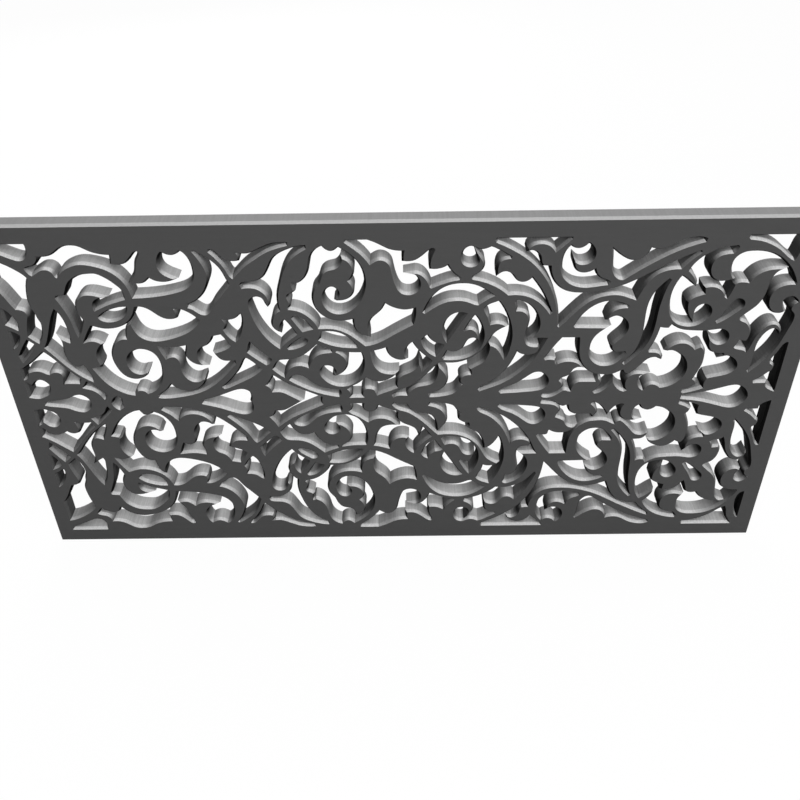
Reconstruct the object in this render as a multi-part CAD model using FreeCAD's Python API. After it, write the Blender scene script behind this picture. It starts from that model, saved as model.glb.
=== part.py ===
import FreeCAD, Part
import os

# Carved fretwork panel, standing upright
# X is the width, Y the thickness with the show face at -Y, Z is up
# The origin is the middle of the bottom edge, halfway through the thickness

os.makedirs("parts", exist_ok=True)

# Overall sizes in mm
panel_width = 1206.0
panel_height = 606.0
thickness = 27.0
border = 27.0

# The outer front edges lean back by this run over this depth
splay_run = 3.0
splay_depth = 5.0

# Plain rim of the carved boards outside the drawing
rim = 6.0

# Wood in front of the lap joint at each corner
lap_depth = 13.5

# Wooden dowels
dowel_diameter = 6.0
dowel_clearance = 0.1
corner_dowel_diameter = 10.0
corner_dowel_cover = 3.0
edge_dowel_reach = 11.0
side_dowel_reach = 10.0
middle_dowel_reach = 9.0

# Openings at the border and at the mirror line are drawn past it by this much
overrun = 4.0

# Sizes that follow from those above
front_y = -thickness / 2
back_y = thickness / 2
splay_y = front_y + splay_depth
lap_y = front_y + lap_depth
field_width = panel_width - 2 * border
half_height = panel_height / 2 - border
middle_z = panel_height / 2
bar_width = border - rim

# The drawing of one half
# u runs from the left stile to the right stile, v from the mirror line to the top rail

# Each cut-out is a list of runs and every run starts at a sharp corner
# A run of one point is a straight edge, two points make an arc, more make a smooth curve

# Left end beside the stile
left_cutouts = [
    [[(-4, 271), (10, 265.8), (25, 259), (40, 251.8), (47, 249.6), (55, 250.8), (61, 257), (63.5, 267)],
     [(59.5, 280)], [(-4, 280)]],
    [[(-4, 254), (10, 251.5), (20, 247.5), (30, 242), (40, 235), (50, 226)],
     [(53.5, 221), (49, 210), (46, 197), (44.5, 184), (46, 173), (49.3, 164), (50.2, 157), (53.2, 147.5),
      (53.5, 139), (52, 131),
      (47.5, 119)],
     [(42, 111.5), (35, 117.5)],
     [(28, 124.5), (29, 133), (31.5, 143), (34.5, 153), (36.5, 161.5), (34, 167.5), (28.5, 170.3)],
     [(22, 171), (15, 185), (5, 203)], [(-4, 212)]],
    [[(-4, 177), (6, 171.5), (13, 163), (18, 152), (19.5, 143)],
     [(17, 134.5), (9, 140)], [(-4, 147.5)]],
    [[(-4, 139), (6, 134.5), (13, 130.5)],
     [(17, 126.5), (14, 116), (9, 108.5)], [(-4, 101)]],
    [[(24.5, 120)], [(36.5, 109.5), (27, 97), (17, 85.5)], [(8, 77)], [(5, 90.5), (14, 105.5)]],
    [[(43, 98.5), (55, 86), (64, 74.5), (73, 63.5), (82, 54)],
     [(89.7, 46.7)], [(85, 37.3), (80.5, 38), (75, 38.2), (66, 38.3)],
     [(59.5, 36.5), (60.5, 43), (62, 50), (60, 57), (53, 59.5), (47, 58)],
     [(43, 55), (38, 57), (33, 60), (25, 62), (18, 61)],
     [(14, 59.5), (11.5, 58), (10, 52), (6, 47.5)],
     [(-4, 46.5)],
     [(-4, 66), (6, 69), (10, 72), (20, 79), (27, 85), (35, 92)]],
    [[(78, 172), (71, 160), (64, 143), (57, 124), (51, 111)],
     [(47, 104.5), (56, 93), (68, 76.5), (82, 60), (95, 48.5)],
     [(107, 40.5), (107.5, 48), (104, 60)],
     [(98, 73.5), (92, 71), (87, 70), (81, 75.5), (76.5, 85), (76, 97), (77, 109)],
     [(75, 119.5), (81, 115.5)],
     [(88, 112), (90.5, 118), (90.5, 130), (88.5, 147), (83.5, 163)]],
    [[(102.5, 122), (99.5, 136), (98, 148), (95.5, 160), (92, 170), (88, 180)],
     [(84, 189), (86, 193), (92, 194)],
     [(98, 195), (101, 202), (104, 209), (110, 217), (118, 223), (127, 227), (138, 228.5), (150, 228),
      (160, 223),
      (168, 217), (176, 209), (181, 203), (183.5, 195)],
     [(184, 185.3), (175, 182.5), (158, 177), (143, 170)],
     [(136, 166.5), (134.5, 172), (135, 178), (138, 184), (143, 187.5)],
     [(149, 189.5), (142, 191.8), (132, 193.3), (124, 192), (118, 187.5), (113, 181), (111, 172),
      (112, 163)],
     [(117.5, 151), (112.5, 139), (108, 129)]],
    [[(184, 173.7), (173, 173.7), (160, 170.8), (148, 165.5)],
     [(138, 156.5), (140.5, 152.5), (149, 148.3), (160, 148.4), (171, 152.3), (179, 159), (183.5, 168)]],
    [[(87, 30), (91, 36)],
     [(95.5, 43), (99.5, 39.8), (105, 34), (112, 27), (119, 20)],
     [(123.5, 14.5)], [(118, 6), (115, 9), (112, 15), (107, 21), (100, 25.5), (92, 28)]],
    [[(-4, 43), (6, 41)],
     [(10, 36.5), (12, 38.5), (16, 43), (22, 46), (28, 46), (33, 43), (37, 38), (38.5, 32), (37, 25),
      (33, 18),
      (24, 13), (18, 10.5), (10, 10.5)],
     [(-4, 13)]],
    [[(20.5, -4)],
     [(20.5, 3), (35, 6), (48, 7.5), (58, 10), (66, 14), (74, 16.5), (80, 17), (86, 14.5), (91, 10),
      (94, 2)],
     [(94, -4)]],
    [[(125, -4), (127, 5), (131, 10.5)], [(136.5, 14)], [(144, 8.5)], [(142.5, -4)]],
]

# Left scrolls and the leaves under the top rail
scroll_cutouts = [
    [[(74, 256.5), (84, 256.3), (94, 259.3), (104, 266.3), (113, 271.5), (125, 273), (137, 270.3),
      (147, 264.5),
      (157, 260.2), (168, 258)],
     [(177.5, 257.5)],
     [(176, 243.5), (184, 242.4), (192, 244), (199, 249), (206, 257), (212, 262.3)],
     [(217, 261.5), (216.5, 255.5), (212.5, 249), (209.5, 240), (206.5, 228), (202, 220)],
     [(197.5, 213.5), (206, 211.7), (213, 213), (219, 217.5)],
     [(223.5, 221.8), (229, 217.5), (236, 214.7), (244, 214), (251, 215.2)],
     [(258, 217.8), (249.5, 222), (242.5, 228), (239, 235.5), (238.6, 243), (240.5, 251), (244, 258)],
     [(247.5, 261.5), (253, 258), (260, 256.2), (267, 258.3)],
     [(273, 263), (279, 259), (284, 252), (287.5, 243), (289, 232), (288.5, 222), (285, 213), (279, 205.5),
      (271, 200), (260, 196), (245, 192.3), (228, 189.5), (210, 187.8)],
     [(194.5, 187.3), (192.5, 198), (188.5, 210), (181, 221.5), (171, 230.5), (158, 237), (144, 241),
      (130, 242.3),
      (117, 239), (106, 233)],
     [(96, 221.5), (92, 224.5), (90, 229.5), (86, 233.5), (79, 234.7), (69, 230.5)],
     [(60.5, 225), (55.5, 230)],
     [(52, 237.5), (58, 241), (66, 243.3), (71.5, 248.3)]],
    [[(124.5, 143), (132, 140.5), (142, 137.6), (152, 137.2), (163, 139.5), (173, 144), (182, 151),
      (189, 160.5)],
     [(194, 173.5), (203, 173.7), (212, 170.5), (221, 163.5), (230, 156), (240, 152.3), (247, 152.8)],
     [(251, 154.5), (252, 161)],
     [(249.7, 169.5), (258, 169.3), (267, 165.7), (277, 158.5)],
     [(286, 149.3), (280.5, 141), (271, 132), (258, 124.5), (243, 118.8), (228, 115), (214, 113.6),
      (202, 116.3),
      (192.5, 123), (187, 132)],
     [(183.5, 144.5), (178.5, 139.5), (175, 130)],
     [(173.3, 117.3), (164, 117), (156, 111.3), (150, 101.5), (146.5, 91), (146, 80), (148.5, 68),
      (153.5, 57.5),
      (161.5, 49.5), (171, 46.3), (180, 47.2), (187, 51.3)],
     [(192, 56)],
     [(191.2, 57), (186, 54.5), (178, 54.5), (171, 58.5), (166, 66), (164.5, 76), (166.5, 86),
      (172, 94), (180, 99),
      (190, 100.8), (200, 98.5), (207, 94), (212, 87), (215.5, 78), (217, 66), (216, 54), (213, 43),
      (207, 32),
      (199, 23.5), (190, 18.7)],
     [(185.7, 17.2), (178, 23.3)],
     [(171.5, 22.5)],
     [(166, 14.3), (155, 17), (144, 22.5), (133, 31), (124, 41.5), (116.5, 54)],
     [(110.5, 66.5)],
     [(122.8, 69)],
     [(123.8, 72), (122.3, 78), (121.3, 86), (122.5, 94), (126.5, 102.5)],
     [(133, 109.8), (127, 113.5), (120, 115), (113, 113.5)],
     [(106.5, 111.5), (113, 124.5)]],
    [[(293.5, 262.3), (303, 256.8), (313, 249), (322, 240), (329, 229), (333.5, 217)],
     [(337, 207), (322, 189), (310, 174), (301.5, 161.5), (296.5, 158.2), (290, 158.7), (281, 165)],
     [(270, 170.3)],
     [(270, 177.5), (280, 181), (289, 187.5), (297, 197), (303, 209), (306, 222), (304, 234), (298.5, 247)],
     [(290.5, 260.5)]],
    [[(313, 263.5), (317.5, 264), (323, 260.5), (329, 254), (335, 248), (343, 245.6)],
     [(352, 246.3), (353.3, 250.5)],
     [(350.5, 258.5), (358, 257.2), (367, 257.5), (376, 261), (386, 266), (396, 270.5), (409, 273.3)],
     [(424.5, 273)],
     [(423.5, 267.7), (413, 265), (400, 260.7), (387, 254), (375, 246), (363, 237.5), (353, 228)],
     [(342.5, 216.6), (338, 221), (334, 230), (328, 241), (321, 250.5)],
     [(312.7, 259.3)]],
    [[(350.5, 207), (354, 211.5), (362, 213), (372, 214), (381, 218), (387, 225), (393, 236.5), (400, 249),
      (410, 257.3), (424, 263.7), (438, 267.7)],
     [(448.5, 268.7)],
     [(449, 262.3), (438, 255.5), (427, 246.5), (418.5, 235), (412.5, 222), (407.5, 206), (404, 192),
      (403, 178)],
     [(404.5, 163.3), (396.5, 157), (392, 147), (391.3, 138.5), (394.5, 132)],
     [(399.5, 128.3), (400.3, 137.5), (404, 145.3)],
     [(409, 150), (414.5, 142.5), (420, 134), (424.5, 126)],
     [(425.5, 122.3), (417, 116), (409, 109.3)],
     [(398, 97), (388, 106.3), (378.5, 118), (371, 131), (365, 145), (361, 159), (358.7, 172), (360.5, 182),
      (366, 187), (373, 188), (379.5, 185.5), (384, 179)],
     [(385.9, 172.3)],
     [(387, 172.3), (388.3, 179), (386.5, 187), (381.5, 194.2), (373, 200), (362, 202)],
     [(352.5, 200.5)]],
    [[(317.5, 150.3), (320.5, 142)],
     [(317, 132.5), (324, 119.5)],
     [(333, 110.7), (340.5, 119.5), (346, 134), (348.9, 148)],
     [(347, 161.5), (342.5, 158.5), (336, 152.7), (328, 150)]],
    [[(216, 105.5), (226, 104), (238, 103.2), (249, 104.3)],
     [(259, 106.7), (258.8, 98), (256.5, 89), (258.5, 81.5), (264, 75.3), (270, 72)],
     [(279.3, 70.4), (273.8, 77.5), (272.3, 87), (274.3, 96), (280, 102.3), (287, 105.8), (293.5, 112)],
     [(298.3, 121.6)],
     [(312.5, 124.8), (318.5, 116.5)],
     [(325.5, 104), (318, 98), (309, 94)],
     [(300, 91), (303.5, 84), (309.5, 79), (317, 77.5)],
     [(328.5, 78.7)],
     [(329, 71), (321, 62.5), (311, 51), (300, 40.3), (288, 30.3), (275, 22.3), (260, 16.2), (244, 12),
      (226, 9),
      (211, 8)],
     [(201, 9.3)],
     [(200.5, 14.5), (208, 20), (215, 25.5), (220.5, 32)],
     [(225, 36.8), (230, 30), (237.5, 25.3), (247, 23.2), (257, 24.3), (265.5, 28.3), (271.8, 33.5)],
     [(276.8, 42.8)],
     [(276, 43.6), (270, 39.8), (261, 38.8), (252.5, 43.8), (247, 52), (244.5, 62), (245, 72),
      (242.5, 80.5),
      (237, 85), (230.5, 84)],
     [(224.5, 80.7), (221, 89), (218, 97)]],
    [[(343.5, 83.3), (351, 78.3), (360, 69)],
     [(368, 61.3), (358, 52), (346, 44), (331, 36.3), (317, 29)],
     [(305.5, 24.8)],
     [(302, 29), (313.5, 40.5), (324.5, 53), (333.5, 66.5), (338.5, 77)]],
    [[(266, -4)], [(266, 3.5), (279, 7.3), (295, 12.2), (310, 18.5), (323, 23.3), (333, 24.6), (340, 22.3)],
     [(344.5, 18), (346.5, 9.5)], [(342, -4)]],
    [[(353.5, 112), (360.5, 103), (369.5, 93)],
     [(384, 79.5), (381, 73)], [(374.5, 68.5), (361, 79.3)], [(347.5, 92), (349.5, 102)]],
    [[(382.5, 61), (386, 69), (393, 76.8), (403, 78.6), (414, 79.4), (426, 83.8), (438, 92.5)],
     [(451.5, 105.5), (462, 100.3)],
     [(474.5, 95.7)],
     [(475, 90), (464, 88.7), (454, 85.7), (446, 78.5), (441, 70)],
     [(438, 62), (429, 66), (420, 66.4), (411, 62.5), (405, 55)],
     [(400, 44.7), (391, 52)]],
    [[(408.3, 98.5), (414, 106.3), (423, 113), (431.5, 117.8), (437, 116.5)],
     [(441, 112), (436, 104.5), (427, 99.5), (417, 96.4)],
     [(410, 95.8)]],
    [[(381.5, 51.2), (392, 42.5), (405, 33), (420, 25), (437, 16.5)],
     [(455.5, 7.5), (454.2, 1.5)],
     [(454.5, -4)],
     [(427, -4), (414.5, 4), (404, 11), (393, 17.2), (385.5, 18)],
     [(377.5, 17.3), (376.5, 23.5)],
     [(368.7, 30.7), (375.5, 40)]],
    [[(406, 40), (408.5, 46.3), (415, 49.6), (423, 49.5), (431, 45.3), (440, 36.3), (450, 29), (464, 24)],
     [(482.5, 22.2), (485, 15)],
     [(481, 7.2), (464, 10.7), (447, 16.3), (430, 24.3), (417, 32)]],
]

# Middle spiral and the arches
middle_cutouts = [
    [[(472, 267.5), (476.5, 261.8), (482.5, 259.3), (488, 262)],
     [(492.5, 266.3), (502, 260), (512, 251.7), (521, 241), (527, 228.5), (529.7, 215), (529.5, 203),
      (526.5, 190.5),
      (520.5, 177.5), (512, 167), (501, 159.3), (489.5, 156.7), (478.5, 159.3), (470.5, 166.5), (466, 176),
      (465.7, 187), (469.5, 197), (475.5, 202), (482, 202.7), (488, 199.3), (491.5, 192.5), (489.7, 185)],
     [(486.6, 181.6)],
     [(487.2, 180), (493, 180.2), (501.5, 183), (507.5, 188.7), (509.8, 196), (508, 204)],
     [(503, 211.3), (508.3, 218), (511, 227.5), (508, 238)],
     [(498, 246), (495, 237.5), (488, 230.7), (479, 228.3), (471, 223.5), (466.7, 215), (463.5, 206.5),
      (457.5, 198.5), (454, 188.5), (454, 177), (457.5, 166), (464.5, 156.3), (474, 149.5), (485, 146.2),
      (497, 146.2)],
     [(510.5, 149.5), (510.8, 138), (513.5, 129.5), (519.5, 122.7), (526, 120)],
     [(530, 118.6), (529.3, 126), (529.3, 137), (532.5, 146.5), (540, 155), (548.5, 163.5), (552.5, 170.5)],
     [(555.5, 176.3), (563, 170.3), (572, 166), (583, 163.5), (592, 164.3)],
     [(600.5, 167.3), (600.3, 152)],
     [(596.5, 137.3), (581, 128.5), (566, 119.3), (552, 110.3), (538, 103.7)],
     [(525, 100.8), (515.5, 109.8), (504.5, 119.5), (492.5, 127), (479, 131.3), (466, 132.3)],
     [(456.7, 132), (452.5, 142.3), (445, 151.8), (435.5, 159.5), (426, 163.5)],
     [(415.5, 165)],
     [(414.4, 168), (417.5, 174), (416.5, 180), (414.5, 186), (416.5, 190.7), (421, 193.3)],
     [(425.5, 196.5), (423.5, 203.5)],
     [(423, 211), (426.5, 210.8)],
     [(430, 209), (437.5, 213.3), (444.5, 222.5), (448.5, 234), (450.7, 246), (454, 254.5), (459, 261),
      (465.5, 265.7)]],
    [[(457.3, 127), (468, 128.2), (480, 127.3), (491.5, 123.2), (502, 115.5), (509.5, 107)],
     [(514, 99.5)], [(512, 97.8), (497, 98.3), (482, 100.7), (468, 105.5)],
     [(455.3, 112), (457.5, 119.5)]],
    [[(418.8, 150.5), (421, 154.2), (428, 154), (437, 149.5), (444, 141.5)],
     [(449.8, 131.3), (441.5, 129.3)], [(433.5, 126.7), (425.5, 139)]],
    [[(480, 93.5), (493, 91.2), (507, 90.2)],
     [(519.5, 90.2), (522.7, 79), (522.7, 66), (519.5, 52), (513, 40.5), (503.5, 31.7), (491, 27.4),
      (478, 28.2),
      (466, 34.3), (457.5, 43.5), (453.5, 53), (456, 62), (463, 66.7), (470.5, 66.3), (476.5, 62),
      (479.5, 55.5)],
     [(476.3, 49.2)],
     [(476.9, 47.9), (482, 49.7), (489.5, 56), (494.3, 65), (494.5, 75), (489, 84)],
     [(480, 90.3)]],
    [[(531.2, 91.7), (544, 94.5)],
     [(557.3, 99.2), (559.5, 88.5), (565.5, 80), (574, 76), (580, 75.8)],
     [(584.5, 77.3), (582, 86.5), (585, 98)],
     [(596.3, 108.3), (602, 97.5), (612, 85.5)],
     [(625, 74), (618.5, 63)],
     [(609, 51.8), (607, 60)],
     [(604.5, 67.5), (600, 58.7), (591, 51.7), (580, 46.3), (573.5, 40), (571.3, 31)],
     [(572.3, 23.3), (561, 18.3), (550, 13.8)],
     [(540, 9), (537.7, 14.5), (535, 19.5), (529, 22)],
     [(522.5, 21.5), (518.5, 15.5)],
     [(520, 5.6)],
     [(496.3, 5.3), (498.5, 13.5)],
     [(494, 21.5), (499, 26.5), (508, 31.3), (517, 38.5)],
     [(524.5, 43.8), (532, 38.7), (541, 36.2), (550, 36.8), (559.5, 41)],
     [(568, 49.3), (556.5, 49.4), (546, 53.3), (538.5, 61.5), (534, 73), (532.3, 83)]],
    [[(634.5, 70.5), (648, 69.4), (661, 70), (674, 73.7), (686, 80.5), (696, 90), (703, 100.5), (708, 111),
      (714.5, 121), (722.5, 127.7)],
     [(731, 132.5), (724, 136.3), (715, 136.7)],
     [(707.5, 134), (706, 142), (704, 149), (700.5, 155.5)],
     [(698, 163.5), (703, 169), (711, 173)],
     [(720.5, 176.7), (727, 167.5), (733.5, 155), (738.5, 141), (742, 124), (742, 106), (739, 90),
      (735.5, 79)],
     [(731.5, 73), (727.5, 81.5), (722.5, 90), (717, 95.7)],
     [(710.5, 98.7), (709.7, 90), (707.5, 81)],
     [(704.5, 74.3), (699, 67.5), (691.5, 62.5)],
     [(682.5, 57), (684.8, 52)],
     [(683.5, 46), (674, 44.5), (668.7, 39.5), (668.3, 33.5)],
     [(671.5, 28.5), (666, 22), (660.5, 14), (652.5, 9.3), (641, 6.5), (630, 5)],
     [(620.5, 5)],
     [(618.3, 12), (629, 15), (638, 20.5), (645, 31.5), (646, 42), (641.5, 52)],
     [(634.7, 60.5), (633.5, 49.5), (630.5, 38.7), (624.5, 31), (614, 27), (604, 25), (596, 20.5),
      (590, 14.5)],
     [(586.5, 8), (578, 8.7), (570.5, 7.7)],
     [(565, 4.3)],
     [(562.3, 9.7), (566.5, 14.8), (573.5, 19.8), (580, 22), (588, 25.5), (598, 32.5), (610, 43.5),
      (621, 56)]],
    [[(607.5, 110), (612, 116.7)],
     [(618.5, 120.2), (623, 112)],
     [(630.5, 105.5), (637, 104.3)],
     [(642.8, 101.3), (636.5, 91)],
     [(629.5, 80.3), (619, 87.5), (611, 98)]],
    [[(645.5, 105), (640.5, 114.5), (638.5, 126), (640, 138), (645.5, 148.5), (654, 155.3), (664.5, 158)],
     [(675.7, 155.3), (661, 131)]],
    [[(686, 154.7), (693, 146), (698.5, 134), (701.3, 121), (700.5, 107.5), (695, 94), (686, 83.7),
      (673.5, 77),
      (659, 74.2)],
     [(641.5, 74.7)],
     [(639.3, 78.5), (642.3, 86)],
     [(645.7, 92.3), (652, 90), (660, 90.2), (667, 94.5), (671.5, 103.5), (677, 111), (684, 113.7)],
     [(691.3, 110.7), (689.5, 120), (684.5, 126), (677.5, 127.5)],
     [(672, 123.5)],
     [(669.7, 126.5), (677.5, 142)]],
    [[(609.5, 158.5), (614.5, 171), (622, 184), (632, 194.5), (645, 202), (661, 205.5), (677, 205),
      (692, 200.3),
      (704, 192.7)],
     [(714, 184.5), (702, 177.7)],
     [(690.5, 169), (686.5, 169.5), (675, 174.3), (660, 176.8), (645, 175), (631, 168.5)],
     [(613, 155.7)]],
    [[(526, 280), (534, 276), (543, 272.3), (552, 267.7), (562, 262), (572, 259)],
     [(585, 258.4), (583.5, 250)],
     [(583.5, 242.3), (590, 241.8), (597, 243), (604, 247), (612, 254), (618.5, 259.7), (623.5, 261.7)],
     [(627.5, 258.5), (623, 247.5), (621, 237.5)],
     [(621.7, 229.5), (629, 229.2), (637, 231)],
     [(646, 236.8), (649.5, 229.5), (656, 221.5)],
     [(664.5, 214)],
     [(662.5, 210.8), (650, 208.3), (636, 203.5)],
     [(622, 197.3)],
     [(619.5, 200), (614.5, 211.5), (607, 219.3)],
     [(596.3, 221.4), (601.2, 219.6), (605.2, 214.5), (607.5, 206.5), (605.5, 196.5), (598, 189.3),
      (588, 187.3), (578.5, 191), (572.5, 200), (568.5, 212), (566, 224),
      (563.5, 234.5), (557, 241.7), (549, 243.3), (542, 240.3)],
     [(536, 236), (529, 246.5), (519, 257.3), (508.5, 265.7)],
     [(501.5, 271.7)],
     [(503.5, 280)]],
    [[(705, 263.5), (713, 260.2), (722, 255)],
     [(734.5, 247)],
     [(733, 243.3), (725, 242), (719.5, 239), (716.5, 233), (715.5, 226)],
     [(715.8, 219.5), (721, 222.8), (728, 224), (735, 221.5), (741, 214.5), (746, 208.7), (752, 206.7),
      (758.5, 208.8)],
     [(764.5, 215.7), (773, 204.5), (782.5, 190), (790.5, 173.5)],
     [(798, 155)],
     [(794.5, 151.7), (787, 162), (777, 172.5), (765, 180.2), (752, 184.5), (741, 185.4)],
     [(732, 184.7), (722, 193.5), (709, 201.5), (695, 207.3)],
     [(681.5, 210.7), (678.7, 214.5)],
     [(681.5, 218.3), (688.5, 222.7), (693.5, 229.5), (694.3, 236.5), (690.8, 244.5)],
     [(685.5, 252.8), (688, 246.8), (689.5, 241), (687, 235), (681, 231.3), (674, 231.2), (667.5, 234.3),
      (663.5, 240.5), (662.5, 248), (665, 257.3), (671, 262.8), (678, 264.3), (685, 261.5), (692, 259.2),
      (699, 260.7)]],
    [[(815.5, 280)], [(815.5, 272.5), (806.5, 263.8)],
     [(793.8, 251.7), (789, 258.7), (782, 263.7), (774, 265.5), (766, 264.3), (760, 261)],
     [(756, 255.8)],
     [(756.7, 255.1), (760.5, 256.7), (765.5, 255.9), (771, 252), (774.7, 246), (776, 239)],
     [(779.5, 232.7)],
     [(790, 232), (791, 222.5), (795, 211.5), (802, 201.3), (812, 193.3), (825, 189), (842, 188),
      (860, 189.5),
      (878, 194), (897, 201), (917, 211.5), (938, 224.5), (960, 236.5), (980, 247)],
     [(995, 253.3)],
     [(996.3, 249), (984, 237.5)],
     [(972, 223.7), (957, 222.7), (944.5, 218.5), (934.5, 210.5), (926.5, 199.5), (921, 187)],
     [(916, 173.8), (904, 178.7), (891, 182.7), (877, 183), (862, 179.3), (848, 171.7), (836, 160.5),
      (824, 146.5)],
     [(809.5, 129.5)],
     [(806.5, 132), (804.3, 152), (800.5, 172), (794, 190.5), (785, 208.5), (773, 225.3), (759, 239.5),
      (742, 252),
      (725, 261.7)],
     [(711, 268.3)],
     [(709.5, 272)],
     [(713, 280)]],
    [[(742.3, 173.5), (746.5, 176.7), (755, 175), (765, 169.5), (773.5, 160.5), (779.5, 148.5),
      (782, 135.5),
      (779.5, 123)],
     [(771.5, 112.4)],
     [(795, 112), (788, 95.7), (778.7, 76.7), (766, 59), (751, 44), (733.3, 31), (714.5, 22)],
     [(697.5, 15)],
     [(694.5, 19), (698.5, 24.3), (711, 31.7), (724, 42.3), (734.5, 55), (742.5, 70)],
     [(750.7, 91.7), (756, 85.3), (764, 82.3), (773, 83)],
     [(780, 86.3), (781.7, 91.3)],
     [(780.5, 95.8), (772, 96), (765, 99.3), (760.7, 107.5), (760, 118.5), (762, 131), (763.5, 142.5),
      (761, 152), (754, 157.2)],
     [(743.8, 157.4), (744, 165)]],
    [[(727, 14.5), (733, 20.3), (746, 26.5), (759, 34.3), (770, 43.3), (779.5, 49.7), (789, 50.3),
      (797.5, 45),
      (802.7, 36), (801.5, 26), (795, 18.5), (786, 15.2), (770, 13.2), (750, 11.5)],
     [(730, 10.5)]],
]

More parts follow.
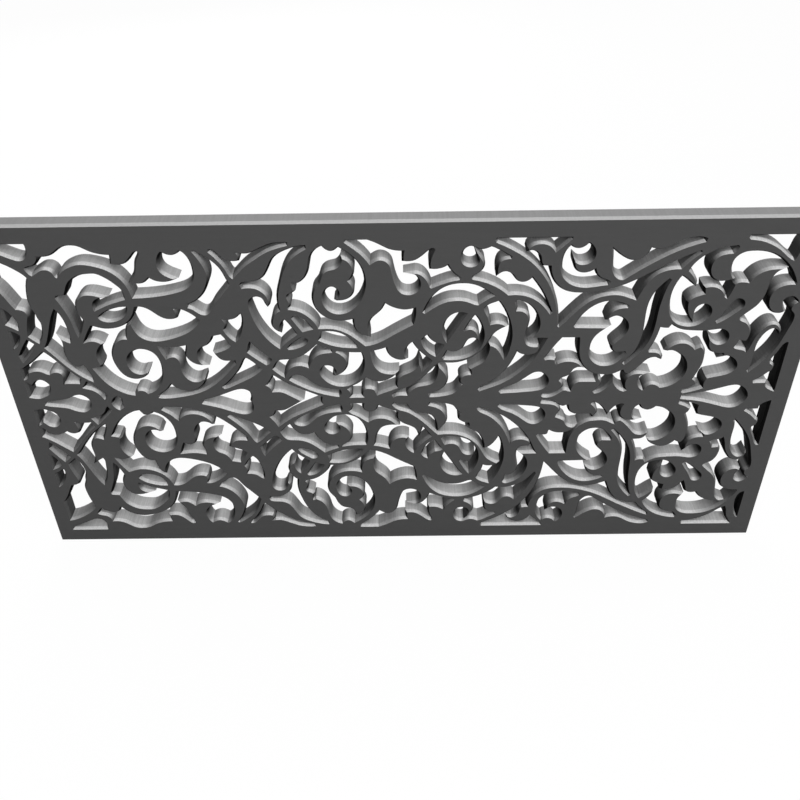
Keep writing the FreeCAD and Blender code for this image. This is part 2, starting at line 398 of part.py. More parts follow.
# Right rings and the plant at the stile
right_cutouts = [
    [[(815, 264.5), (820.5, 260), (827, 259), (833, 261.7)],
     [(838, 267.7), (845, 262.3), (849.3, 254), (849.3, 244.5), (844.5, 236.5), (836.5, 232.7),
      (829, 232.7)],
     [(822.5, 236.5), (824, 229), (829, 222.8), (836.5, 220.5), (844.5, 222)],
     [(852.5, 227.7), (855.5, 219), (862, 212), (870, 208.7)],
     [(875.7, 204.7)],
     [(872.5, 199.7), (856, 197.3), (840, 195.8), (826, 198.3), (814, 205.3), (806, 215.3), (802.7, 227.5),
      (802.7, 241), (806, 253)]],
    [[(872, 259.3), (882, 250.8), (892, 243.7), (902, 239.5), (911, 240.3), (919, 246.5)],
     [(923.7, 259.7), (931, 257.3), (940, 256.5), (949, 259), (958, 264.5), (967, 269.5), (978, 273),
      (989, 274)],
     [(1000, 271)],
     [(998.5, 265.5), (984, 261), (968, 254.7), (950, 245.7), (931, 234), (912, 221.5), (899, 211.7),
      (892, 207.7),
      (885.5, 209), (879.5, 214.3), (875, 223.5), (873, 235), (872, 247)],
     [(870.3, 257)]],
    [[(830.5, 131.5), (834.5, 141), (842, 152.5), (852, 163), (864, 170.5), (877, 173.8), (890, 172.7)],
     [(908.5, 165)],
     [(906, 161.3), (895, 160.3), (886.5, 156), (881, 148)],
     [(878.3, 142.9)],
     [(878.9, 142.3), (882.5, 145.5), (891, 148.8), (900, 146.5), (908, 139.7), (911.7, 129.5),
      (909.5, 118.5),
      (902.5, 108.7), (895.5, 101.3)],
     [(891.8, 96), (893.8, 89.3)],
     [(898.3, 85.6)],
     [(912.5, 86.3)],
     [(914.5, 82.5), (907, 71.7), (897.5, 63.2), (886, 60), (874, 62), (864.5, 69), (858.5, 79),
      (856.7, 91),
      (858.7, 103.5), (865, 115), (872.3, 122.8)],
     [(878, 127.3)],
     [(833, 128.5)]],
    [[(957.5, 209.5), (947, 198), (938, 183.5), (932.7, 166.5), (931.5, 147), (932, 126), (931.3, 107),
      (926.5, 89),
      (918.5, 75.5)],
     [(910.3, 65)],
     [(914, 61.3), (926, 73.5), (937.5, 89), (946, 108), (949.7, 129), (950.5, 152), (953, 176),
      (957, 195)],
     [(961.3, 207)]],
    [[(995.9, 197.2), (992, 201.7), (985, 208)],
     [(975.5, 214.7), (969, 203.5), (964.5, 190), (962.8, 176), (964, 161.5), (969, 146.5), (978, 135.3),
      (990, 129.7), (1003, 128.8), (1014, 132.8), (1022.5, 140.5), (1028, 151), (1026.5, 159.7),
      (1020, 166),
      (1011.5, 166.5), (1004.5, 161.3), (1001.3, 152.5)],
     [(1001.3, 141), (995.8, 149), (992.5, 159)],
     [(991.6, 169.8), (996.2, 175.7), (1003.8, 179.8)],
     [(1013, 182.7)],
     [(1011.5, 193.3), (1021.5, 194.3), (1031, 191.3), (1037.5, 185.3)],
     [(1041, 177.5)],
     [(1045.5, 174.3), (1049.5, 185)],
     [(1052.5, 197.5), (1058, 201.2), (1065, 201.3)],
     [(1071.5, 199.8), (1077, 209), (1085.5, 216.3), (1098, 220.8)],
     [(1113, 221.3), (1105, 214.7), (1101, 204.5), (1099.3, 192), (1097.3, 178.5), (1091.5, 165),
      (1081.5, 154)],
     [(1070, 142.5), (1071.5, 138.3), (1079.5, 134.3), (1086.5, 127), (1090.3, 114.5)],
     [(1088, 102.7)],
     [(1077.5, 103.7), (1075.3, 97)],
     [(1071.8, 91), (1077, 87.8), (1084, 86.3)],
     [(1092.5, 80.8), (1097, 93), (1101, 108.5), (1108.5, 121.5), (1116.5, 129), (1125, 130),
      (1131.5, 124.5)],
     [(1134.6, 116)],
     [(1133.9, 116.3), (1130, 122), (1123, 123.8), (1115.5, 119.3), (1108.5, 108), (1104.7, 94.5),
      (1104, 79),
      (1104.3, 63)],
     [(1100.7, 48)],
     [(1103.5, 44.3), (1114.5, 56.7), (1125.5, 71), (1134.5, 86.5), (1140.5, 103), (1145.5, 122),
      (1149.3, 140),
      (1147, 149.5), (1142, 155.5), (1143, 161.5)],
     [(1149.7, 167.3), (1144.5, 175), (1136.5, 178.3), (1129, 174.7), (1125.7, 167), (1128, 159)],
     [(1131.5, 152.5), (1124, 150), (1115.5, 153.3), (1109, 161.3), (1106.5, 171.5), (1108, 182),
      (1113.5, 190),
      (1122.5, 195)],
     [(1137.5, 196.5)],
     [(1139, 199.5), (1132.5, 213.3), (1123.5, 226.3), (1112, 237.7), (1098, 246.3), (1082, 250.8),
      (1066, 251.3),
      (1053.5, 248.7), (1044.5, 241.5), (1040.3, 230.5), (1041, 218.5)],
     [(1046.7, 207.3), (1038, 204.7), (1028.5, 204.7), (1020, 209), (1014.7, 217), (1013.3, 227),
      (1016.3, 237),
      (1023.5, 243.7), (1032, 246.3)],
     [(1039.5, 247), (1043.5, 251.5)],
     [(1046.3, 257)],
     [(1044, 260), (1032, 258.7), (1018.5, 255), (1005.5, 248.7), (994.5, 239.7), (986.5, 229.5)],
     [(982.3, 220.7), (989.5, 213), (994.5, 205)],
     [(997, 197.5)]],
    [[(1060, 280)], [(1144.5, 280), (1138.5, 267.5), (1132.3, 255.5), (1129.3, 242)],
     [(1126, 234.5), (1116, 240.7), (1104.5, 250.7), (1090.5, 259.5), (1075, 265.5)],
     [(1058.5, 268)],
     [(1055.8, 271)]],
    [[(1150, 261.3), (1144, 252), (1140.5, 240), (1139.2, 227), (1140.3, 214), (1144, 205)],
     [(1150, 200.7)], [(1156, 203)], [(1156, 259)]],
    [[(1149, 99.5), (1144, 94.5), (1139.5, 83.5), (1134.5, 73.5)],
     [(1131, 64.5)],
     [(1133, 60), (1138.7, 54)],
     [(1134, 45.7), (1125, 37)],
     [(1113.3, 29)],
     [(1115.5, 24.3), (1124.5, 25)],
     [(1134, 24.7), (1137, 16.5), (1143.5, 11.7)],
     [(1150, 8.5)], [(1156, 10)], [(1156, 98)]],
    [[(957, 129.7), (963.5, 127.2)],
     [(970, 127)],
     [(974.3, 134.3), (982, 128.5), (992, 123.8), (1005, 122), (1021, 121.3), (1036, 122.7), (1047, 124),
      (1055.5, 121.3), (1061, 114), (1061.3, 104.5), (1055.5, 97.5), (1047, 96), (1040, 99)],
     [(1034.3, 104.5), (1035.5, 94.5), (1040.5, 85.7), (1049, 81.8)],
     [(1059.5, 81.3), (1061, 78.5)],
     [(1060, 75.5), (1067.5, 76.2), (1076, 72.3), (1082.5, 65), (1084.7, 57), (1081, 48.3), (1072.5, 42.3),
      (1060, 38.5)],
     [(1043.5, 34.5), (1040.5, 26)],
     [(1041.5, 16.3), (1027, 10.7)],
     [(1010.5, 6.7), (1008, 10.7)],
     [(1010.5, 14.8), (1019.5, 18.5)],
     [(1027.5, 24), (1025.5, 29.3)],
     [(1021, 33.5), (1026, 46), (1030, 60), (1030.3, 75), (1028, 87)],
     [(1023.5, 91.7), (1019.5, 89.7)],
     [(1015.3, 87), (1008, 94.5), (999, 98.8), (989.5, 98.6), (981, 94.5)],
     [(973.6, 87.8)],
     [(974.4, 86.6), (984.5, 86.8), (994.5, 82), (1003, 73.7), (1008.5, 62.7), (1009.7, 50.5), (1006, 38),
      (998, 28),
      (987, 21)],
     [(974, 17.8), (967.5, 22.8), (960, 24.2), (954, 20.7)],
     [(950, 12.8), (943.5, 17), (939, 25), (938, 34), (941, 41)],
     [(945.3, 43.7), (936, 44.5), (927, 41.5), (921.5, 34.5), (920.3, 25.5), (922, 18)],
     [(924.5, 13)],
     [(919.5, 11.5), (910, 16.3), (904, 23.7)],
     [(900.5, 31), (894, 20.3), (885, 11.7)],
     [(875, 8)],
     [(871.8, 12), (878.5, 19.5), (881.5, 27)],
     [(878, 36)],
     [(874.5, 30.7)],
     [(851, 31), (844, 28), (840, 22)],
     [(838, 12.7)],
     [(833, 13.2), (829.5, 15)],
     [(825.5, 14), (821, 10), (814, 5.2), (805.5, 1.9)],
     [(797.5, 1.7), (793, 5)],
     [(793.5, 9.7), (801, 11), (811, 12.3), (819.5, 16.5)],
     [(823.5, 23.5), (822, 28.5)],
     [(818, 33)],
     [(818.7, 37.5), (825.5, 40.7), (832.5, 45), (836, 52), (841.5, 57.3)],
     [(849.8, 58.3), (840.5, 66.5), (830.5, 68.7), (820, 67.3)],
     [(811.7, 62.7), (809, 66.5)],
     [(807.7, 71.7), (801, 72.7)],
     [(794, 71.5)],
     [(791.7, 75), (804, 96)],
     [(815.5, 112.3)],
     [(842, 112.3), (843.3, 98), (844, 86), (847, 73.5), (852, 63.3), (860, 54), (869, 47.7)],
     [(877.5, 45.3), (888, 44.3), (899, 45.7), (907, 49.7)],
     [(914.3, 53.3), (917.5, 47.3)],
     [(923, 45.8), (931.5, 53.5), (940, 63.5), (947.5, 72), (957, 75.3), (963, 74.2)],
     [(966.9, 71.6)],
     [(967.7, 72.2), (966, 77.3), (961.5, 81.7), (955, 83.3)],
     [(947.5, 83.7)],
     [(945.7, 87), (950.5, 98.5), (954.3, 113)]],
    [[(1009, -4)],
     [(1009.3, 4), (1022, 5.8), (1040, 8.8), (1058, 13.7), (1076, 19.5), (1089, 22), (1099, 20),
      (1107, 13.7),
      (1111.7, 6)],
     [(1113, -4)]],
    [[(1036, 137.5), (1042, 147.5), (1049, 158.5), (1054, 168.5), (1059.5, 174.7), (1066.5, 174.7),
      (1072.5, 169),
      (1072.5, 162), (1065, 153), (1053.5, 142.5)],
     [(1039, 133.3)]],
]

cutouts = left_cutouts + scroll_cutouts + middle_cutouts + right_cutouts
drawn_points = [point for runs in cutouts for run in runs for point in run]
grid_width = max(u for u, v in drawn_points) - overrun
grid_height = max(v for u, v in drawn_points) - overrun


def place(u, v):
    x = u * field_width / grid_width - field_width / 2
    z = middle_z + v * half_height / grid_height
    return FreeCAD.Vector(x, 0, z)


def run_edge(points):
    if len(points) == 2:
        return Part.LineSegment(points[0], points[1]).toShape()
    if len(points) == 3:
        return Part.Arc(points[0], points[1], points[2]).toShape()
    curve = Part.BSplineCurve()
    curve.interpolate(points)
    return curve.toShape()


def cutout_face(runs):
    edges = []
    for number, run in enumerate(runs):
        following = runs[(number + 1) % len(runs)][0]
        edges.append(run_edge([place(u, v) for u, v in run + [following]]))
    return Part.Face(Part.Wire(edges))


def rectangle(x0, x1, y, z0, z1):
    corners = [FreeCAD.Vector(x0, y, z0), FreeCAD.Vector(x1, y, z0),
               FreeCAD.Vector(x1, y, z1), FreeCAD.Vector(x0, y, z1)]
    return Part.makePolygon(corners + corners[:1])


def block(x0, x1, y0, y1, z0, z1):
    return Part.makeBox(x1 - x0, y1 - y0, z1 - z0, FreeCAD.Vector(x0, y0, z0))


def rod(point, axis, length, diameter):
    return Part.makeCylinder(diameter / 2, length, point, axis)


along_x = FreeCAD.Vector(1, 0, 0)
along_y = FreeCAD.Vector(0, 1, 0)
along_z = FreeCAD.Vector(0, 0, 1)

half = panel_width / 2
inner = half - bar_width
low = bar_width
high = panel_height - bar_width

# Dowel places on the drawing, where there is wood on both sides of the joint
edge_dowel_places = [228, 342, 482, 602, 861, 1027]
left_dowel_places = [259.5, 184, 5.5]
right_dowel_places = [267, 189, 4.5]
middle_dowel_places = [108, 160, 358, 552, 680, 852, 985, 1128]


def dowel_set(clearance):
    diameter = dowel_diameter + clearance
    sets = {"rail_dowels": [], "stile_dowels": [], "middle_dowels": [], "corner_dowels": []}
    edge_reach = edge_dowel_reach + clearance
    side_reach = side_dowel_reach + clearance
    middle_reach = middle_dowel_reach + clearance
    corner_length = thickness - corner_dowel_cover + clearance
    for side in (1, -1):
        for u in edge_dowel_places:
            point = place(u, side * grid_height)
            point.z += side * rim - edge_reach
            sets["rail_dowels"].append(rod(point, along_z, 2 * edge_reach, diameter))
        for across, rows in ((-1, left_dowel_places), (1, right_dowel_places)):
            for v in rows:
                point = place(0, side * v)
                point.x = across * inner - side_reach
                sets["stile_dowels"].append(rod(point, along_x, 2 * side_reach, diameter))
            x = across * (half - bar_width / 2)
            z = middle_z + side * (panel_height - bar_width) / 2
            point = FreeCAD.Vector(x, back_y - corner_length, z)
            sets["corner_dowels"].append(rod(point, along_y, corner_length, corner_dowel_diameter + clearance))
    for u in middle_dowel_places:
        point = place(u, 0)
        point.z -= middle_reach
        sets["middle_dowels"].append(rod(point, along_z, 2 * middle_reach, diameter))
    return sets


dowels = dowel_set(0.0)
bores = dowel_set(dowel_clearance)

# The whole panel without its openings, with the outer front edges splayed
front_edge = rectangle(-half + splay_run, half - splay_run, front_y, splay_run, panel_height - splay_run)
full_edge = rectangle(-half, half, splay_y, 0, panel_height)
slab = Part.makeLoft([front_edge, full_edge], True, True)
slab = slab.fuse(block(-half, half, splay_y, back_y, 0, panel_height))

# Border bars, each in a front and a back half, so that the corners lap
# The rails are the long bars in front and the stiles are the long bars behind
bar_halves = {
    "top_rail": (block(-half, half, front_y, lap_y, high, panel_height),
                 block(-inner, inner, lap_y, back_y, high, panel_height)),
    "bottom_rail": (block(-half, half, front_y, lap_y, 0, low),
                    block(-inner, inner, lap_y, back_y, 0, low)),
    "left_stile": (block(-half, -inner, front_y, lap_y, low, high),
                   block(-half, -inner, lap_y, back_y, 0, panel_height)),
    "right_stile": (block(inner, half, front_y, lap_y, low, high),
                    block(inner, half, lap_y, back_y, 0, panel_height)),
}
edge_bores = bores["corner_dowels"] + bores["rail_dowels"] + bores["stile_dowels"]
pieces = {}
for name, (front_half, back_half) in bar_halves.items():
    bar = front_half.fuse(back_half).common(slab)
    pieces[name] = bar.cut(edge_bores).removeSplitter()

# Carved boards, the lower one the mirror image of the upper one
drawn_low = place(0, -overrun).z
drawn_area = Part.Face(rectangle(-field_width / 2, field_width / 2, 0, drawn_low, middle_z + half_height))
openings = [cutout_face(runs).common(drawn_area) for runs in cutouts]
sheet = Part.Face(rectangle(-inner, inner, 0, middle_z, high)).cut(openings)
sheet = max(sheet.Faces, key=lambda face: face.Area)
upper = sheet.translated(along_y * front_y).extrude(along_y * thickness)
lower = upper.mirror(FreeCAD.Vector(0, 0, middle_z), along_z)
board_bores = bores["rail_dowels"] + bores["stile_dowels"] + bores["middle_dowels"]
pieces["fretwork_upper"] = upper.cut(board_bores).removeSplitter()
pieces["fretwork_lower"] = lower.cut(board_bores).removeSplitter()

for name, solids in dowels.items():
    pieces[name] = Part.makeCompound(solids)

for name, shape in pieces.items():
    shape.exportStep("parts/" + name + ".step")
    print(name, len(shape.Solids), shape.isValid(), round(shape.Volume))
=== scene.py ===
from math import pi, sqrt
import bmesh
import bpy
from mathutils import Matrix, Vector


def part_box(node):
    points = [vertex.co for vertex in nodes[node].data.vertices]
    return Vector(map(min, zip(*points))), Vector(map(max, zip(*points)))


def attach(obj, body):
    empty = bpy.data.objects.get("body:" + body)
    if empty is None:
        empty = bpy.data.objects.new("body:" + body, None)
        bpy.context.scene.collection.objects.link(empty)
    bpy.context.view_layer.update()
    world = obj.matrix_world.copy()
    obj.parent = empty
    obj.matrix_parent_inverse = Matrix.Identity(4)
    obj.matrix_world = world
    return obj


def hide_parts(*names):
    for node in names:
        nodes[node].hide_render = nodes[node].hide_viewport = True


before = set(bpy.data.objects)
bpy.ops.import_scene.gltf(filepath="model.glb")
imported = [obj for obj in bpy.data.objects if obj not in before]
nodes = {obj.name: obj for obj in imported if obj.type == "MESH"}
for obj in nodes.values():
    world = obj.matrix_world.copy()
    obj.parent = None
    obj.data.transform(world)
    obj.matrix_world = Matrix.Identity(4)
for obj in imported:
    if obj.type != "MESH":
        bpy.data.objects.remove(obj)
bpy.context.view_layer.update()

print("frame loaded,", len(nodes), "pieces")

scene = bpy.context.scene
scene.view_settings.view_transform = "Standard"
plainWhite = (1.0, 1.0, 1.0, 1.0)


def addNode(tree, kind, place, **settings):
    node = tree.nodes.new(kind)
    node.location = place
    for name, value in settings.items():
        setattr(node, name, value)
    return node


def newTree(name):
    material = bpy.data.materials.new(name)
    material.use_nodes = True
    tree = material.node_tree
    tree.nodes.clear()
    output = addNode(tree, "ShaderNodeOutputMaterial", (1500, 0))
    shader = addNode(tree, "ShaderNodeBsdfPrincipled", (1200, 0))
    tree.links.new(shader.outputs["BSDF"], output.inputs["Surface"])
    return material, tree, shader


def ranged(tree, source, place, fromSpan, toSpan=(0.0, 1.0)):
    node = addNode(tree, "ShaderNodeMapRange", place)
    for name, value in zip(("From Min", "From Max", "To Min", "To Max"), (*fromSpan, *toSpan)):
        node.inputs[name].default_value = value
    tree.links.new(source, node.inputs["Value"])
    return node.outputs["Result"]


def noise(tree, source, place, pattern):
    mapping = addNode(tree, "ShaderNodeMapping", place)
    mapping.inputs["Scale"].default_value = pattern["stretch"]
    tree.links.new(source, mapping.inputs["Vector"])
    node = addNode(tree, "ShaderNodeTexNoise", (place[0] + 250, place[1]))
    node.inputs["Scale"].default_value = pattern["scale"]
    node.inputs["Detail"].default_value = pattern["detail"]
    tree.links.new(mapping.outputs["Vector"], node.inputs["Vector"])
    return node.outputs["Fac"]


def calculate(tree, operation, place, *values):
    node = addNode(tree, "ShaderNodeMath", place, operation=operation)
    for socket, value in zip(node.inputs, values):
        if isinstance(value, float):
            socket.default_value = value
        else:
            tree.links.new(value, socket)
    return node.outputs["Value"]


def scaled(tree, place, factor):
    node = addNode(tree, "ShaderNodeVectorMath", place, operation="SCALE")
    tree.links.new(factor, node.inputs["Scale"])
    return node.inputs[0], node.outputs["Vector"]


def blend(tree, factor, first, second, place):
    node = addNode(tree, "ShaderNodeMix", place, data_type="RGBA")
    tree.links.new(factor, node.inputs["Factor"])
    for colour, name in ((first, "A"), (second, "B")):
        socket = [s for s in node.inputs if s.name == name and s.type == "RGBA"][0]
        if isinstance(colour, tuple):
            socket.default_value = (*colour, 1.0)
        else:
            tree.links.new(colour, socket)
    return [s for s in node.outputs if s.type == "RGBA"][0]


# a colour ramp of painted shade, one grey for each way a surface faces
def paintedShadeRing(tree, turn, stops, place):
    node = addNode(tree, "ShaderNodeValToRGB", place)
    marks = node.color_ramp.elements
    while len(marks) < len(stops):
        marks.new(0.5)
    for mark, (position, shade) in zip(marks, stops):
        mark.position = position
        mark.color = (shade, shade, shade, 1.0)
    tree.links.new(turn, node.inputs["Fac"])
    return node.outputs["Color"]


# what the border bars and the carved boards share
boardSurface = {
    "flat": (0.053, 0.053, 0.053),      # show side and back
    "splayLean": (0.2, 0.35),           # how much a surface looks to the front where wall turns to splay
    "flatLean": (0.75, 0.9),            # and where splay turns to flat side
    "streaks": {"scale": 420.0, "stretch": (1.0, 0.02, 1.0), "detail": 3.0},    # through the thickness
    "specks": {"scale": 900.0, "stretch": (1.0, 1.0, 1.0), "detail": 2.0},
    "grain": {"scale": 260.0, "stretch": (0.08, 1.0, 1.0), "detail": 4.0},      # along the width
    "noiseSpan": (0.3, 0.7),            # most of the noise lies in here
    "grainSpan": (0.95, 1.05),
    "bumpStrength": 0.15,
    "bumpDistance": 0.0005,
    "roughness": 0.75,
    "shine": 0.03,
}

# painted shade for each way a cut surface faces, as turns from right-looking (0) over up-looking (0.25):
# up-facing cuts are painted light and left- and down-facing cuts nearly black, as if lit from above and
# the right, and the splays are painted lighter still as a highlight
frameFinishAndPaintedShade = {
    "name": "frameWoodWithPaintedShade",
    "walls": (
        (0.0, 0.04), (0.08, 0.16), (0.25, 0.24), (0.36, 0.10),
        (0.48, 0.02), (0.53, 0.003), (0.94, 0.003), (1.0, 0.04),
    ),
    "splays": (
        (0.0, 0.05), (0.1, 0.28), (0.25, 0.36), (0.36, 0.13),
        (0.47, 0.02), (0.52, 0.003), (0.94, 0.003), (1.0, 0.05),
    ),
    "streak": 0.05,                     # depth of the saw streaks
    "speck": 0.05,                      # depth of the speckle in the cut wood
}
# the field's painted shade is lighter than the frame's, to make up for the real shade inside its openings
fieldFinishAndPaintedShade = {
    "name": "fieldWoodWithPaintedShade",
    "walls": (
        (0.0, 0.065), (0.04, 0.15), (0.08, 0.26), (0.12, 0.37), (0.17, 0.43),
        (0.25, 0.44), (0.29, 0.31), (0.33, 0.22), (0.37, 0.115), (0.42, 0.055),
        (0.46, 0.025), (0.485, 0.004), (0.53, 0.002), (0.94, 0.002), (1.0, 0.065),
    ),
    "splays": (
        (0.0, 0.07), (0.06, 0.15), (0.12, 0.41), (0.17, 0.53), (0.25, 0.54), (0.30, 0.33),
        (0.36, 0.15), (0.42, 0.045), (0.48, 0.004), (0.52, 0.002), (0.94, 0.002), (1.0, 0.07),
    ),
    "streak": 0.12,
    "speck": 0.12,
}


def boardMaterial(materialLook):
    material, tree, shader = newTree(materialLook["name"])
    where = addNode(tree, "ShaderNodeTexCoord", (-1800, 0))
    spot = where.outputs["Object"]
    normal = addNode(tree, "ShaderNodeSeparateXYZ", (-1500, 300))
    tree.links.new(where.outputs["Normal"], normal.inputs["Vector"])
    # the way a cut surface faces, as a turn from 0 to 1
    angle = calculate(tree, "ARCTAN2", (-1250, 400), normal.outputs["Z"], normal.outputs["X"])
    signedTurn = calculate(tree, "DIVIDE", (-1050, 400), angle, 2 * pi)
    turn = calculate(tree, "FRACT", (-850, 400), signedTurn)
    # walls and splays get painted shade by the way they face, standing in for light from above and the
    # right, with a painted highlight on the splays
    walls = paintedShadeRing(tree, turn, materialLook["walls"], (-600, 500))
    splays = paintedShadeRing(tree, turn, materialLook["splays"], (-600, 200))
    facing = calculate(tree, "ABSOLUTE", (-1250, 0), normal.outputs["Y"])
    isSplay = ranged(tree, facing, (-900, 0), boardSurface["splayLean"])
    isFlat = ranged(tree, facing, (-900, -250), boardSurface["flatLean"])
    cut = blend(tree, isSplay, walls, splays, (-200, 300))
    # streaks and specks darken and lighten the cut surfaces
    streak = noise(tree, spot, (-1500, -500), boardSurface["streaks"])
    speck = noise(tree, spot, (-1500, -800), boardSurface["specks"])
    streakSpan = (1.0 - materialLook["streak"], 1.0 + materialLook["streak"])
    speckSpan = (1.0 - materialLook["speck"], 1.0 + materialLook["speck"])
    streakShade = ranged(tree, streak, (-900, -500), boardSurface["noiseSpan"], streakSpan)
    speckShade = ranged(tree, speck, (-900, -800), boardSurface["noiseSpan"], speckSpan)
    texture = calculate(tree, "MULTIPLY", (-600, -600), streakShade, speckShade)
    cutColour, cutShade = scaled(tree, (100, 300), texture)
    tree.links.new(cut, cutColour)
    # the flat sides have a faint grain
    grain = noise(tree, spot, (-1500, -1100), boardSurface["grain"])
    grainShade = ranged(tree, grain, (-900, -1100), (0.0, 1.0), boardSurface["grainSpan"])
    flatColour, flatShade = scaled(tree, (100, -300), grainShade)
    flatColour.default_value = boardSurface["flat"]
    colour = blend(tree, isFlat, cutShade, flatShade, (500, 0))
    tree.links.new(colour, shader.inputs["Base Color"])
    bump = addNode(tree, "ShaderNodeBump", (800, -400))
    bump.inputs["Strength"].default_value = boardSurface["bumpStrength"]
    bump.inputs["Distance"].default_value = boardSurface["bumpDistance"]
    tree.links.new(texture, bump.inputs["Height"])
    tree.links.new(bump.outputs["Normal"], shader.inputs["Normal"])
    shader.inputs["Roughness"].default_value = boardSurface["roughness"]
    shader.inputs["Specular IOR Level"].default_value = boardSurface["shine"]
    return material


dowelFinish = {
    "name": "dowelEnd",
    "light": (0.30, 0.22, 0.14),
    "dark": (0.17, 0.12, 0.075),
    "rings": {"scale": 900.0, "stretch": (1.0, 1.0, 1.0), "detail": 2.0},
    "roughness": 0.7,
}


def dowelMaterial(materialLook):
    material, tree, shader = newTree(materialLook["name"])
    where = addNode(tree, "ShaderNodeTexCoord", (-1200, 0))
    rings = noise(tree, where.outputs["Object"], (-900, 0), materialLook["rings"])
    colour = blend(tree, rings, materialLook["dark"], materialLook["light"], (-300, 0))
    tree.links.new(colour, shader.inputs["Base Color"])
    shader.inputs["Roughness"].default_value = materialLook["roughness"]
    return material


# both board materials carry painted shade on their cut surfaces, the field's lighter to make up for the
# shade inside its openings
frameWoodWithPaintedShade = boardMaterial(frameFinishAndPaintedShade)
fieldWoodWithPaintedShade = boardMaterial(fieldFinishAndPaintedShade)
dowelEnd = dowelMaterial(dowelFinish)
for name, piece in nodes.items():
    piece.data.materials.clear()
    if name.endswith("dowels"):
        piece.data.materials.append(dowelEnd)
    else:
        piece.data.materials.append(fieldWoodWithPaintedShade if name.startswith("fretwork") else frameWoodWithPaintedShade)
print("finishes set")

# both carved boards as one field, whose openings narrow behind the show face
carvedField = {
    "boards": ("fretwork_upper", "fretwork_lower"),
    "run": 0.003,                       # how far the walls stand inside the drawn edge
    "depth": 0.005,                     # where the splay ends
    "lip": 0.00001,                     # closes the back round each opening
    "longestTip": 0.014,                # no corner of the walls moves further than this
    "bluntTip": 0.002,                  # a tip up to this wide runs out to one edge
    "tipReach": 1.5,                    # how far it runs out, against the reach of its two corners
    "sharpShare": 1.08,                 # a corner is sharp if its mitre is this much longer than the run
    "wallLean": 0.5,                    # a wall looks to the front less than this
    "flatLean": 0.9,                    # a flat side looks to the front more than this
    "merge": 0.00002,                   # points this close are one
    "smoothAngle": 0.3,
}
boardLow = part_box("fretwork_lower")[0]
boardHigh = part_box("fretwork_upper")[1]
thickness = boardHigh.y - boardLow.y
wallStart = boardLow.y + carvedField["depth"]
near = carvedField["merge"]


def onBorder(vertex):
    place = vertex.co
    sides = (place.x - boardLow.x, boardHigh.x - place.x, place.z - boardLow.z, boardHigh.z - place.z)
    return min(sides) < near


def inPlane(face, level):
    return all(abs(vertex.co.y - level) < near for vertex in face.verts)


def selectOpenEdges(mesh, border):
    bpy.ops.mesh.select_all(action="DESELECT")
    for edge in mesh.edges:
        inFront = all(vertex.co.y < boardLow.y + near for vertex in edge.verts)
        outer = all(onBorder(vertex) for vertex in edge.verts)
        edge.select_set(edge.is_boundary and inFront and outer == border)
    bmesh.update_edit_mesh(field.data)


def pushBack(distance):
    bpy.ops.mesh.extrude_edges_move(TRANSFORM_OT_translate={"value": (0.0, distance, 0.0)})


bpy.ops.object.select_all(action="DESELECT")
for name in carvedField["boards"]:
    board = bpy.data.objects.new("carvedField", nodes[name].data.copy())
    scene.collection.objects.link(board)
    board.select_set(True)
    bpy.context.view_layer.objects.active = board
bpy.ops.object.join()
field = bpy.context.active_object
field.name = "carvedField"
bpy.ops.object.mode_set(mode="EDIT")
bpy.ops.mesh.select_mode(type="FACE")
bpy.ops.mesh.select_all(action="SELECT")
bpy.ops.mesh.remove_doubles(threshold=near)
bpy.ops.mesh.select_all(action="DESELECT")
mesh = bmesh.from_edit_mesh(field.data)
for face in mesh.faces:
    face.select_set(not inPlane(face, boardLow.y) and not inPlane(face, boardHigh.y))
bmesh.update_edit_mesh(field.data)
bpy.ops.mesh.delete(type="FACE")
print("flat sides kept,", len(mesh.faces), "faces")

# the walls of the openings, drawn back in three steps and then moved inwards
bpy.ops.mesh.select_mode(type="EDGE")
selectOpenEdges(mesh, False)
pushBack(carvedField["depth"])
pushBack(thickness - carvedField["depth"] - carvedField["lip"])
pushBack(carvedField["lip"])
bpy.ops.mesh.select_mode(type="FACE")
bpy.ops.mesh.select_all(action="DESELECT")
for face in mesh.faces:
    isWall = abs(face.normal.y) < carvedField["wallLean"]
    middle = face.calc_center_median().y
    face.select_set(isWall and wallStart < middle < boardHigh.y - carvedField["lip"])
bmesh.update_edit_mesh(field.data)
bpy.ops.transform.shrink_fatten(value=carvedField["run"], use_even_offset=True)
print("walls drawn")


# an inner corner whose mitre would pass its neighbours keeps to the run, any other to the longest tip
def shortenCorner(start, end, far):
    shift = end.co - start.co
    shift.y = 0.0
    run = carvedField["run"]
    beside = []
    for edge in start.link_edges:
        step = edge.other_vert(start).co - start.co
        if step.y < near and any(abs(face.normal.y) < carvedField["flatLean"] for face in edge.link_faces):
            beside.append(step)
    inward = sum(beside, Vector()).dot(shift) > 0
    trimmed = sqrt(max(shift.length_squared - run * run, 0.0))
    crossing = max(step.length for step in beside) < trimmed
    limit = run if inward and crossing else carvedField["longestTip"]
    if shift.length > limit:
        shift *= limit / shift.length
        for vertex in (end, far):
            vertex.co.x = start.co.x + shift.x
            vertex.co.z = start.co.z + shift.z


corners = {}                            # what lies behind each point of the drawn edge
for edge in mesh.edges:
    start, end = sorted(edge.verts, key=lambda vertex: vertex.co.y)
    if start.co.y < boardLow.y + near and abs(end.co.y - wallStart) < near:
        behind = [link.other_vert(end) for link in end.link_edges]
        far = max(behind, key=lambda vertex: vertex.co.y)
        shortenCorner(start, end, far)
        corners[start] = (end, far)
print("corners shortened")


# both corners of a blunt tip meet in one edge behind the splay
def joinTip(first, second):
    for one, other in zip(corners[first], corners[second]):
        reach = (one.co + other.co - first.co - second.co) / 2
        tip = (first.co + second.co) / 2 + carvedField["tipReach"] * reach
        tip.y = one.co.y
        one.co = tip
        other.co = tip


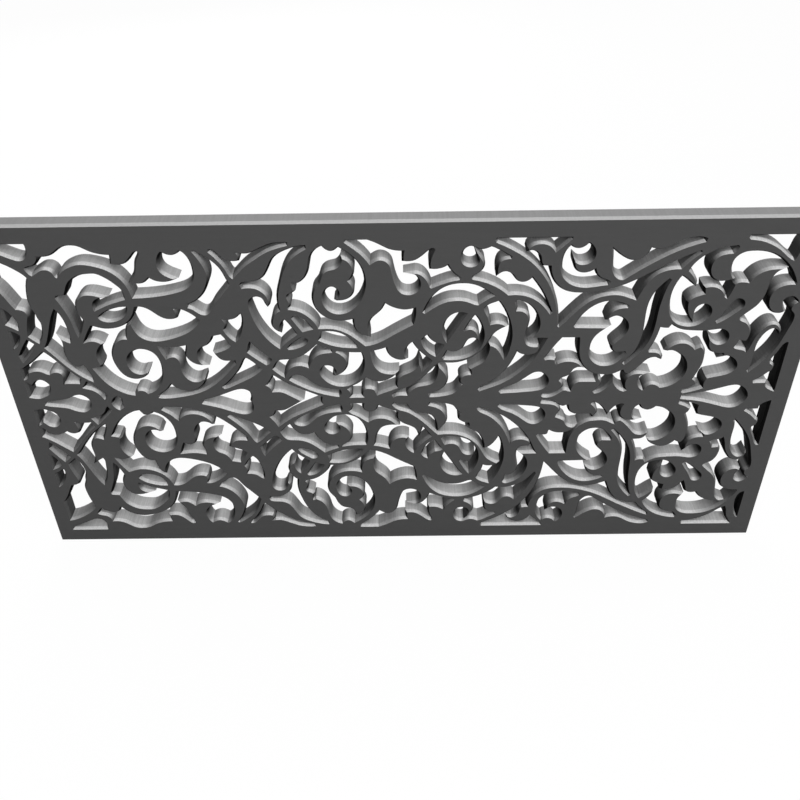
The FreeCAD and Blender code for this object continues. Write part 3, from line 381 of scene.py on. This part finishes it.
tipCount = 0
for edge in mesh.edges:
    first, second = edge.verts
    if first in corners and second in corners and edge.calc_length() < carvedField["bluntTip"]:
        reaches = [(corners[vertex][0].co - vertex.co).xz.length for vertex in edge.verts]
        if min(reaches) > carvedField["sharpShare"] * carvedField["run"]:
            joinTip(first, second)
            tipCount += 1
bmesh.update_edit_mesh(field.data)
print("blunt tips brought to an edge,", tipCount)

# the outer edge of the boards, and everything joined up
bpy.ops.mesh.select_mode(type="EDGE")
selectOpenEdges(mesh, True)
pushBack(thickness)
bpy.ops.mesh.select_all(action="SELECT")
bpy.ops.mesh.remove_doubles(threshold=near)
openCount = sum(edge.is_boundary for edge in mesh.edges)
bpy.ops.object.mode_set(mode="OBJECT")
bpy.ops.mesh.customdata_custom_splitnormals_clear()
bpy.ops.object.shade_smooth_by_angle(angle=carvedField["smoothAngle"])
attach(field, "root")
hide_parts(*carvedField["boards"])
print("carved field made,", len(field.data.polygons), "faces,", openCount, "open edges")


# 1 for what the camera sees, directly or in a mirror or glass
def seenDirectly(tree, place):
    path = addNode(tree, "ShaderNodeLightPath", place)
    direct = path.outputs["Is Camera Ray"]
    mirrored = path.outputs["Is Glossy Ray"]
    throughGlass = path.outputs["Is Transmission Ray"]
    either = calculate(tree, "MAXIMUM", (place[0] + 200, place[1]), direct, mirrored)
    return calculate(tree, "MAXIMUM", (place[0] + 400, place[1]), either, throughGlass)


# a floor that is white to the camera and keeps a little of the shadow
floorLook = {
    "size": 14.0,
    "colour": (0.9, 0.9, 0.9),
    "roughness": 0.9,
    "shadowShare": 0.04,
}
bpy.ops.object.select_all(action="DESELECT")
bpy.ops.mesh.primitive_plane_add(size=floorLook["size"], location=(0, 0, 0))
floor = bpy.context.active_object
floor.name = "studioFloor"
floorMaterial, floorTree, floorShader = newTree("paleFloor")
floorShader.inputs["Base Color"].default_value = (*floorLook["colour"], 1.0)
floorShader.inputs["Roughness"].default_value = floorLook["roughness"]
white = addNode(floorTree, "ShaderNodeEmission", (900, 300))
white.inputs["Color"].default_value = plainWhite
seenFloor = seenDirectly(floorTree, (100, 500))
whiteShare = calculate(floorTree, "MULTIPLY", (700, 500), seenFloor, 1.0 - floorLook["shadowShare"])
mixed = addNode(floorTree, "ShaderNodeMixShader", (1350, 200))
floorTree.links.new(whiteShare, mixed.inputs["Fac"])
floorTree.links.new(floorShader.outputs["BSDF"], mixed.inputs[1])
floorTree.links.new(white.outputs["Emission"], mixed.inputs[2])
floorOutput = [node for node in floorTree.nodes if node.type == "OUTPUT_MATERIAL"][0]
floorTree.links.new(mixed.outputs["Shader"], floorOutput.inputs["Surface"])
floor.data.materials.append(floorMaterial)

# a world that is white to the camera and lights the panel more softly
skyLook = {"light": 0.55}
world = bpy.data.worlds.new("studio")
scene.world = world
world.use_nodes = True
sky = world.node_tree
sky.nodes.clear()
skyOutput = addNode(sky, "ShaderNodeOutputWorld", (900, 0))
skyLight = addNode(sky, "ShaderNodeBackground", (300, -100))
skyLight.inputs["Color"].default_value = plainWhite
skyLight.inputs["Strength"].default_value = skyLook["light"]
skyWhite = addNode(sky, "ShaderNodeBackground", (300, 100))
skyWhite.inputs["Color"].default_value = plainWhite
skyMix = addNode(sky, "ShaderNodeMixShader", (600, 0))
sky.links.new(seenDirectly(sky, (-400, 300)), skyMix.inputs["Fac"])
sky.links.new(skyLight.outputs["Background"], skyMix.inputs[1])
sky.links.new(skyWhite.outputs["Background"], skyMix.inputs[2])
sky.links.new(skyMix.outputs["Shader"], skyOutput.inputs["Surface"])

lampAim = Vector((0.0, 0.0, 0.3))       # near the middle of the panel
lamps = [
    {"name": "frontKey", "place": (0.5, -2.0, 2.4), "size": 1.6, "power": 45.0},
    {"name": "overhead", "place": (0.0, -0.6, 3.2), "size": 2.6, "power": 15.0},
    {"name": "frontFill", "place": (0.8, -3.2, 1.2), "size": 2.0, "power": 20.0},
    {"name": "backFill", "place": (-0.8, 3.2, 1.6), "size": 2.0, "power": 42.0},
]
for lamp in lamps:
    light = bpy.data.lights.new(lamp["name"], "AREA")
    light.size = lamp["size"]
    light.energy = lamp["power"]
    holder = bpy.data.objects.new(lamp["name"], light)
    scene.collection.objects.link(holder)
    holder.location = lamp["place"]
    toward = lampAim - Vector(lamp["place"])
    holder.rotation_euler = toward.to_track_quat("-Z", "Y").to_euler()
print("floor and light set")

# where the photo was taken from
cameraLook = {
    "place": (0.01109, -1.11594, 1.13812),
    "right": (0.999896, 0.000142, -0.014436),
    "up": (0.011421, 0.603885, 0.796990),
    "forward": (-0.00883, 0.79707, -0.60382),
    "lens": 40.076,
    "sensor": 36.0,
}
camera = bpy.data.objects.new("photoCamera", bpy.data.cameras.new("photoCamera"))
scene.collection.objects.link(camera)
camera.data.lens = cameraLook["lens"]
camera.data.sensor_width = cameraLook["sensor"]
backward = -Vector(cameraLook["forward"])
cameraTurn = Matrix((cameraLook["right"], cameraLook["up"], backward)).transposed()
camera.matrix_world = Matrix.Translation(cameraLook["place"]) @ cameraTurn.to_4x4()
scene.camera = camera
print("camera set")
